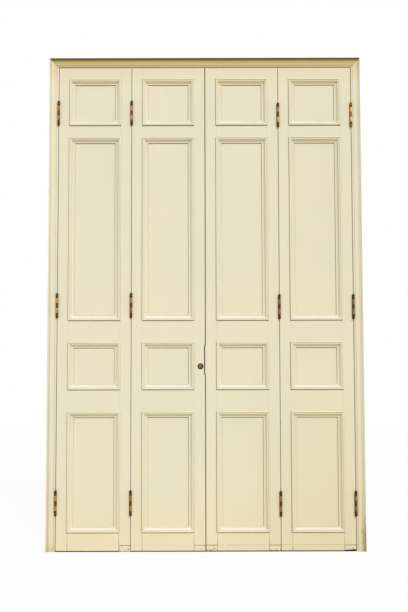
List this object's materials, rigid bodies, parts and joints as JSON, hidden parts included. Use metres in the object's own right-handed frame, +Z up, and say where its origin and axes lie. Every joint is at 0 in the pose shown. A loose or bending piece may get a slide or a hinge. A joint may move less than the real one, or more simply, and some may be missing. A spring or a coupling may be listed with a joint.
{
  "type": "folding wooden door",
  "caption": "Folding wooden door of narrow painted panelled leaves in a mitred timber frame, hung on brass butt hinges, with a round lock cylinder at the meeting stiles.",
  "frame": {"origin": "on the wall side of the left jamb, at floor level and halfway through the frame's depth", "axes": "+Z up, +X from the left jamb to the right one as seen from the front, and the front faces -Y"},
  "size_m": [1.5555, 0.1124, 2.44],
  "materials": {
    "painted_wood": "satin oil paint",
    "old_brass": "tarnished",
    "old_brass_dark": "dark patina"
  },
  "bodies": {
    "root": {"left_jamb": "painted_wood", "right_jamb": "painted_wood", "head": "painted_wood", "stile_foot_repairs": "painted_wood", "keeper_strip": "painted_wood", "leaf_1_left_stile": "painted_wood", "leaf_1_right_stile": "painted_wood", "leaf_1_rails": "painted_wood", "leaf_1_panels": "painted_wood", "leaf_1_front_mouldings": "painted_wood", "leaf_1_back_mouldings": "painted_wood", "leaf_2_left_stile": "painted_wood", "leaf_2_right_stile": "painted_wood", "leaf_2_rails": "painted_wood", "leaf_2_panels": "painted_wood", "leaf_2_front_mouldings": "painted_wood", "leaf_2_back_mouldings": "painted_wood", "leaf_3_left_stile": "painted_wood", "leaf_3_right_stile": "painted_wood", "leaf_3_rails": "painted_wood", "leaf_3_panels": "painted_wood", "leaf_3_front_mouldings": "painted_wood", "leaf_3_back_mouldings": "painted_wood", "leaf_4_left_stile": "painted_wood", "leaf_4_right_stile": "painted_wood", "leaf_4_rails": "painted_wood", "leaf_4_panels": "painted_wood", "leaf_4_front_mouldings": "painted_wood", "leaf_4_back_mouldings": "painted_wood", "left_jamb_hinge_left_plates": "old_brass", "left_jamb_hinge_right_plates": "old_brass", "left_jamb_hinge_pins": "old_brass", "left_fold_hinge_left_plates": "old_brass", "left_fold_hinge_right_plates": "old_brass", "left_fold_hinge_pins": "old_brass", "right_fold_hinge_left_plates": "old_brass", "right_fold_hinge_right_plates": "old_brass", "right_fold_hinge_pins": "old_brass", "right_jamb_hinge_left_plates": "old_brass", "right_jamb_hinge_right_plates": "old_brass", "right_jamb_hinge_pins": "old_brass", "lock_escutcheon": "old_brass_dark", "lock_cylinder": "old_brass_dark", "lock_forend": "old_brass"}
  },
  "joints": []
}
